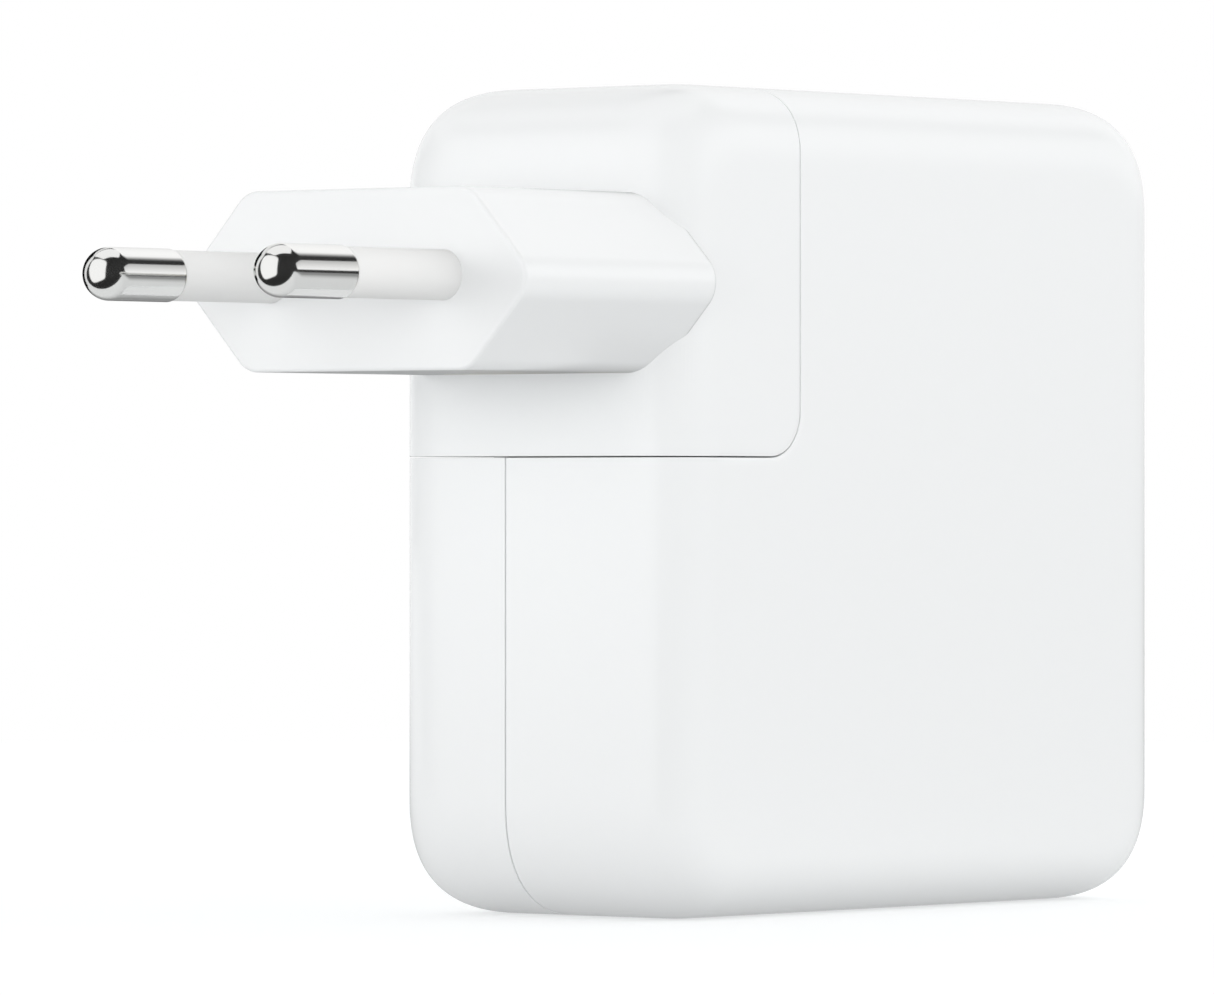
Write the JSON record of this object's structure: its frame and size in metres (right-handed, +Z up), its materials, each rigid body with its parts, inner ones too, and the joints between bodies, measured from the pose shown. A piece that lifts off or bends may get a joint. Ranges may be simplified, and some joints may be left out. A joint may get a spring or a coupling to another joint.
{
  "type": "laptop power adapter",
  "caption": "Square white mains adapter standing on its edge, with a lift-off corner plug head, a six-sided boss, round mains pins and an oval low-voltage output socket.",
  "frame": {"origin": "middle of the narrow bottom face that the adapter stands on", "axes": "+Z up; -X is the way the mains pins point; +X is the end with the output socket; -Y is the broad front face"},
  "size_m": [0.1036, 0.0332, 0.064],
  "materials": {
    "housing_white": "glossy white polycarbonate, lightly translucent look",
    "plug_white": "glossy white polycarbonate",
    "sleeve_white": "satin white insulation",
    "inner_white": "plain moulded white",
    "nickel_plate": "bright nickel plate",
    "stainless_steel": "plain drawn and turned steel",
    "contact_brass": "pressed spring brass",
    "black_moulding": "black moulded insulation",
    "board_laminate": "green solder mask on glass laminate",
    "aluminium_sheet": "mill-finish sheet",
    "insulating_film": "amber insulating film",
    "capacitor_can": "dark sleeved can",
    "film_case": "yellow potted case",
    "ceramic_disc": "blue dipped ceramic",
    "fuse_ceramic": "white ceramic tube",
    "ferrite_core": "grey sintered ferrite",
    "copper_winding": "enamelled copper wire, drawn as one solid coil"
  },
  "bodies": {
    "housing": {"front_shell": "housing_white", "back_shell": "housing_white", "inlet_block": "black_moulding", "inlet_pin_front": "nickel_plate", "inlet_pin_back": "nickel_plate", "retaining_stud": "stainless_steel", "stud_plate": "stainless_steel", "socket_shell": "stainless_steel", "socket_tongue": "black_moulding", "socket_board": "board_laminate", "header_inner": "black_moulding", "header_outer": "black_moulding", "main_board": "board_laminate", "heat_spreader_front": "aluminium_sheet", "insulating_sheet_front": "insulating_film", "heat_spreader_back": "aluminium_sheet", "insulating_sheet_back": "insulating_film", "bulk_capacitor_1": "capacitor_can", "bulk_capacitor_2": "capacitor_can", "bulk_capacitor_3": "capacitor_can", "output_capacitor_1": "capacitor_can", "output_capacitor_2": "capacitor_can", "choke_core": "ferrite_core", "choke_winding_left": "copper_winding", "choke_winding_right": "copper_winding", "x_capacitor": "film_case", "bridge_rectifier": "black_moulding", "fuse": "fuse_ceramic", "y_capacitor": "ceramic_disc", "switch_heat_sink": "aluminium_sheet", "power_switch": "black_moulding", "transformer_core_upper": "ferrite_core", "transformer_core_lower": "ferrite_core", "transformer_bobbin": "black_moulding", "transformer_winding": "copper_winding"},
    "plug_head": {"plug_head_shell": "plug_white", "plug_head_cover": "plug_white", "plug_connector": "inner_white", "plug_pin_front": "nickel_plate", "plug_pin_back": "nickel_plate", "pin_sleeve_front": "sleeve_white", "pin_sleeve_back": "sleeve_white", "contact_strap_front": "contact_brass", "contact_strap_back": "contact_brass", "contact_tube_front": "contact_brass", "contact_tube_back": "contact_brass"}
  },
  "joints": [
    {"name": "plug_head_lift", "type": "slide", "parent": "housing", "child": "plug_head", "axis": [0, 0, 1], "range_m": [0, 0.038]}
  ]
}
